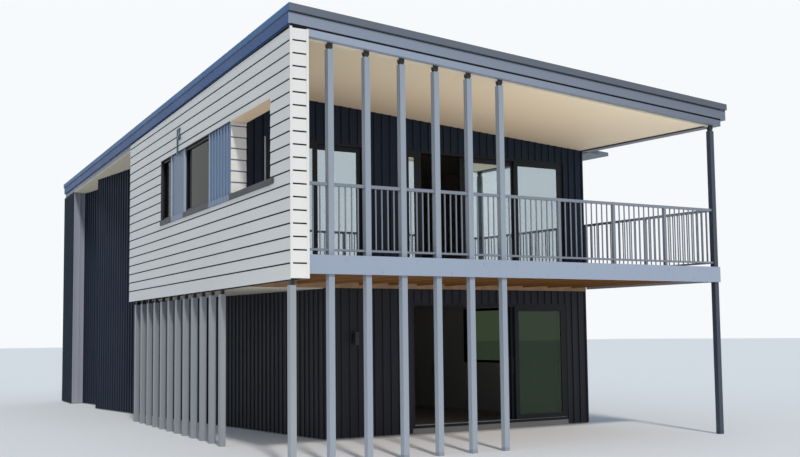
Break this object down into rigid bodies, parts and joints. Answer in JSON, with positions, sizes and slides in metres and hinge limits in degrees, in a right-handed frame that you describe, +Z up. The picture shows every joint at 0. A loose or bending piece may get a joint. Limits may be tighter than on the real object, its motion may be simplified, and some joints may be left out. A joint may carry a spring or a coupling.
{
  "type": "beach house",
  "caption": "Two-storey beach house with a covered upper deck on posts, a turned weatherboard side wall, dark ribbed cladding and a single-fall roof",
  "frame": {"origin": "Centre of the house's bounding box in plan, on the ground under it", "axes": "+X to the right seen from the front, +Y to the back, +Z up"},
  "size_m": [9.01, 19.18, 6.2867],
  "materials": {
    "concrete": "rough",
    "dark_cladding": "matte",
    "black_frame": "satin",
    "glass": "polished",
    "floor_structure": "matte",
    "lining": "matte",
    "weatherboard": "painted satin",
    "blue_panel": "satin",
    "dark_metal": "satin",
    "window_frame": "satin",
    "decking": "matte",
    "stained_timber": "matte",
    "blue_timber": "painted satin",
    "blue_metal": "satin",
    "roofing": "satin",
    "soffit": "matte"
  },
  "bodies": {
    "house": {"ground_slab": "concrete", "lower_left_wall": "dark_cladding", "lower_entry_wall": "dark_cladding", "lower_rear_wall": "dark_cladding", "lower_right_wall": "dark_cladding", "lower_front_wall_left": "dark_cladding", "lower_front_wall_right": "dark_cladding", "lower_door_lintel": "dark_cladding", "upper_front_wall": "dark_cladding", "upper_left_wall": "dark_cladding", "upper_entry_wall": "dark_cladding", "upper_rear_wall": "dark_cladding", "upper_right_wall": "dark_cladding", "lower_door_frame": "black_frame", "upper_door_frames": "black_frame", "lower_door_glass": "glass", "window_glass": "glass", "upper_door_glass": "glass", "upper_floor": "floor_structure", "overhang_lining": "lining", "weatherboard_wall": "weatherboard", "ribbed_panel": "blue_panel", "plain_panel": "blue_panel", "band_sill_flashing": "dark_metal", "post_brackets": "dark_metal", "window_frames": "window_frame", "deck_boards": "decking", "deck_joists": "stained_timber", "deck_fascia": "blue_timber", "front_posts": "blue_timber", "side_posts": "blue_timber", "roof_beams": "blue_timber", "roof_fascia": "blue_timber", "front_balustrade": "blue_metal", "side_balustrade": "blue_metal", "roof_cap": "blue_metal", "roof_gutter": "blue_metal", "roof_slab": "roofing", "side_eave": "roofing", "roof_soffit": "soffit"},
    "door_leaf_1": {"door_leaf_1": "black_frame", "door_leaf_1_glass": "glass"},
    "door_leaf_2": {"door_leaf_2": "black_frame", "door_leaf_2_glass": "glass"}
  },
  "joints": [
    {"name": "door_leaf_1_slide", "type": "slide", "parent": "house", "child": "door_leaf_1", "axis": [-1, 0, 0], "range_m": [0, 2.134]},
    {"name": "door_leaf_2_slide", "type": "slide", "parent": "house", "child": "door_leaf_2", "axis": [-1, 0, 0], "range_m": [0, 1.07]}
  ]
}
